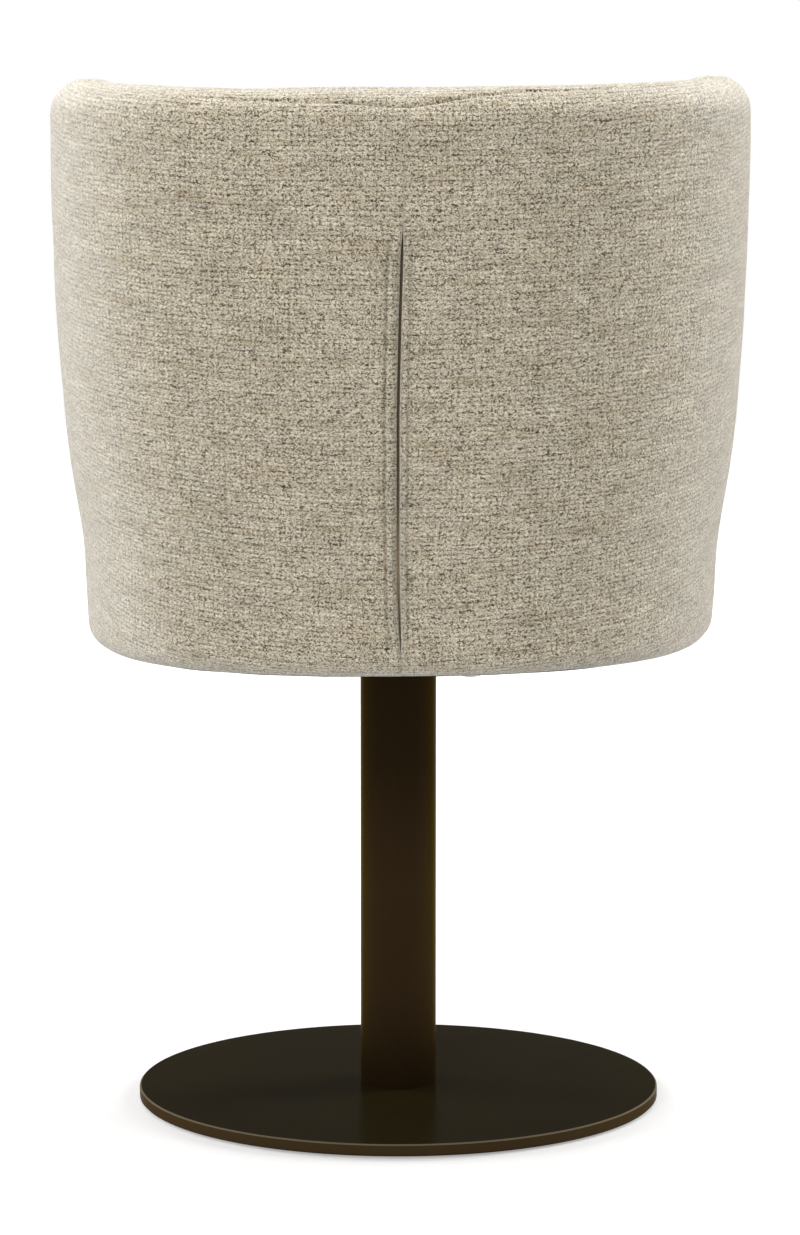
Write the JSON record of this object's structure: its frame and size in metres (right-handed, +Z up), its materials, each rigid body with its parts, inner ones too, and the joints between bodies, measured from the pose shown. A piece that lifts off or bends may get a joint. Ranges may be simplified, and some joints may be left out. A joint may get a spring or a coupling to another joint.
{
  "type": "swivel dining chair",
  "caption": "Upholstered barrel-back dining chair with a slit down the outside back, turning on a ball-bearing swivel above a round column and a flat disc base.",
  "frame": {"origin": "on the floor, under the centre of the column", "axes": "+Z up; the chair faces -Y, its slit back is towards +Y; +X is the sitter's left"},
  "size_m": [0.572, 0.5852, 0.8605],
  "materials": {
    "bronze_disc": "satin",
    "bronze_column": "satin",
    "felt_pad": "matte",
    "plain_steel": "satin",
    "zinc_steel": "satin",
    "black_steel": "satin",
    "swivel_steel": "satin",
    "ball_steel": "polished",
    "cage_plastic": "matte",
    "plywood": "matte",
    "solid_wood": "matte",
    "dark_lining": "matte",
    "foam": "matte",
    "chenille": "matte",
    "dust_cloth": "matte"
  },
  "bodies": {
    "base": {"base_plate": "bronze_disc", "floor_glides": "felt_pad", "column_tube": "bronze_column", "column_foot": "plain_steel", "base_screws": "zinc_steel", "column_flange": "black_steel", "flange_bolts": "zinc_steel", "flange_nuts": "zinc_steel", "swivel_lower_plate": "swivel_steel", "swivel_rivet": "zinc_steel"},
    "ball_ring": {"swivel_balls": "ball_steel", "ball_cage": "cage_plastic"},
    "seat": {"swivel_upper_plate": "swivel_steel", "seat_screws": "zinc_steel", "tee_nuts": "zinc_steel", "seat_board": "plywood", "seat_ring": "solid_wood", "shell_panel": "plywood", "ring_screws": "zinc_steel", "panel_liner": "dark_lining", "outer_padding_left": "foam", "outer_padding_right": "foam", "back_foam": "foam", "arm_foam_left": "foam", "arm_foam_right": "foam", "front_foam": "foam", "outer_cover_left": "chenille", "outer_cover_right": "chenille", "inner_cover": "chenille", "seat_foam": "foam", "seat_cover": "chenille", "dust_cover": "dust_cloth"}
  },
  "joints": [
    {"name": "seat_swivel", "type": "hinge", "parent": "base", "child": "seat", "pos_m": [0, 0, 0.388], "axis": [0, 0, 1], "continuous": true},
    {"name": "ball_ring_roll", "type": "hinge", "parent": "base", "child": "ball_ring", "pos_m": [0, 0, 0.388], "axis": [0, 0, 1], "continuous": true}
  ],
  "couplings": [
    {"joint": "ball_ring_roll", "follows": "seat_swivel", "ratio": 0.5}
  ]
}
